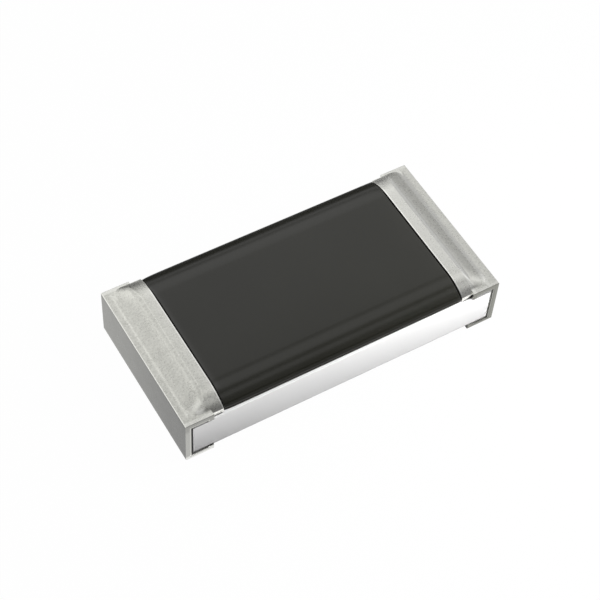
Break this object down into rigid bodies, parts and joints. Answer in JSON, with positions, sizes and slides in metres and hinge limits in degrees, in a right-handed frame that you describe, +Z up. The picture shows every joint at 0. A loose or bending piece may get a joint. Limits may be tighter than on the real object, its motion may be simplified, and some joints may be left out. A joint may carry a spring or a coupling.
{
  "type": "chip resistor",
  "caption": "Thick-film chip resistor for surface mounting: white ceramic slab, black resin coat and tin terminals that wrap top, end and underside.",
  "frame": {"origin": "under the chip's centre, at the level of the solder pads", "axes": "+X along the chip from the left terminal to the right one, +Y across it, +Z up through the coat"},
  "size_m": [0.0032, 0.0016, 0.0006],
  "materials": {
    "alumina": "fired white alumina, smooth and slightly glossy",
    "silver_film": "fired silver film, fine matt grain",
    "resistive_paste": "fired dark grey resistive film, matt",
    "coat_glass": "dark fired glass, glossy",
    "black_resin": "black cured resin, satin to glossy",
    "conductive_paste": "dark conductive layer, matt",
    "nickel": "plated nickel, satin",
    "tin": "matt plated tin with fine grain"
  },
  "bodies": {
    "root": {"ceramic_substrate": "alumina", "top_electrode_left": "silver_film", "top_electrode_right": "silver_film", "bottom_electrode_left": "silver_film", "bottom_electrode_right": "silver_film", "resistive_film": "resistive_paste", "glass_coat": "coat_glass", "resin_overcoat": "black_resin", "end_electrode_left": "conductive_paste", "end_electrode_right": "conductive_paste", "nickel_barrier_left": "nickel", "nickel_barrier_right": "nickel", "tin_plating_left": "tin", "tin_plating_right": "tin"}
  },
  "joints": []
}
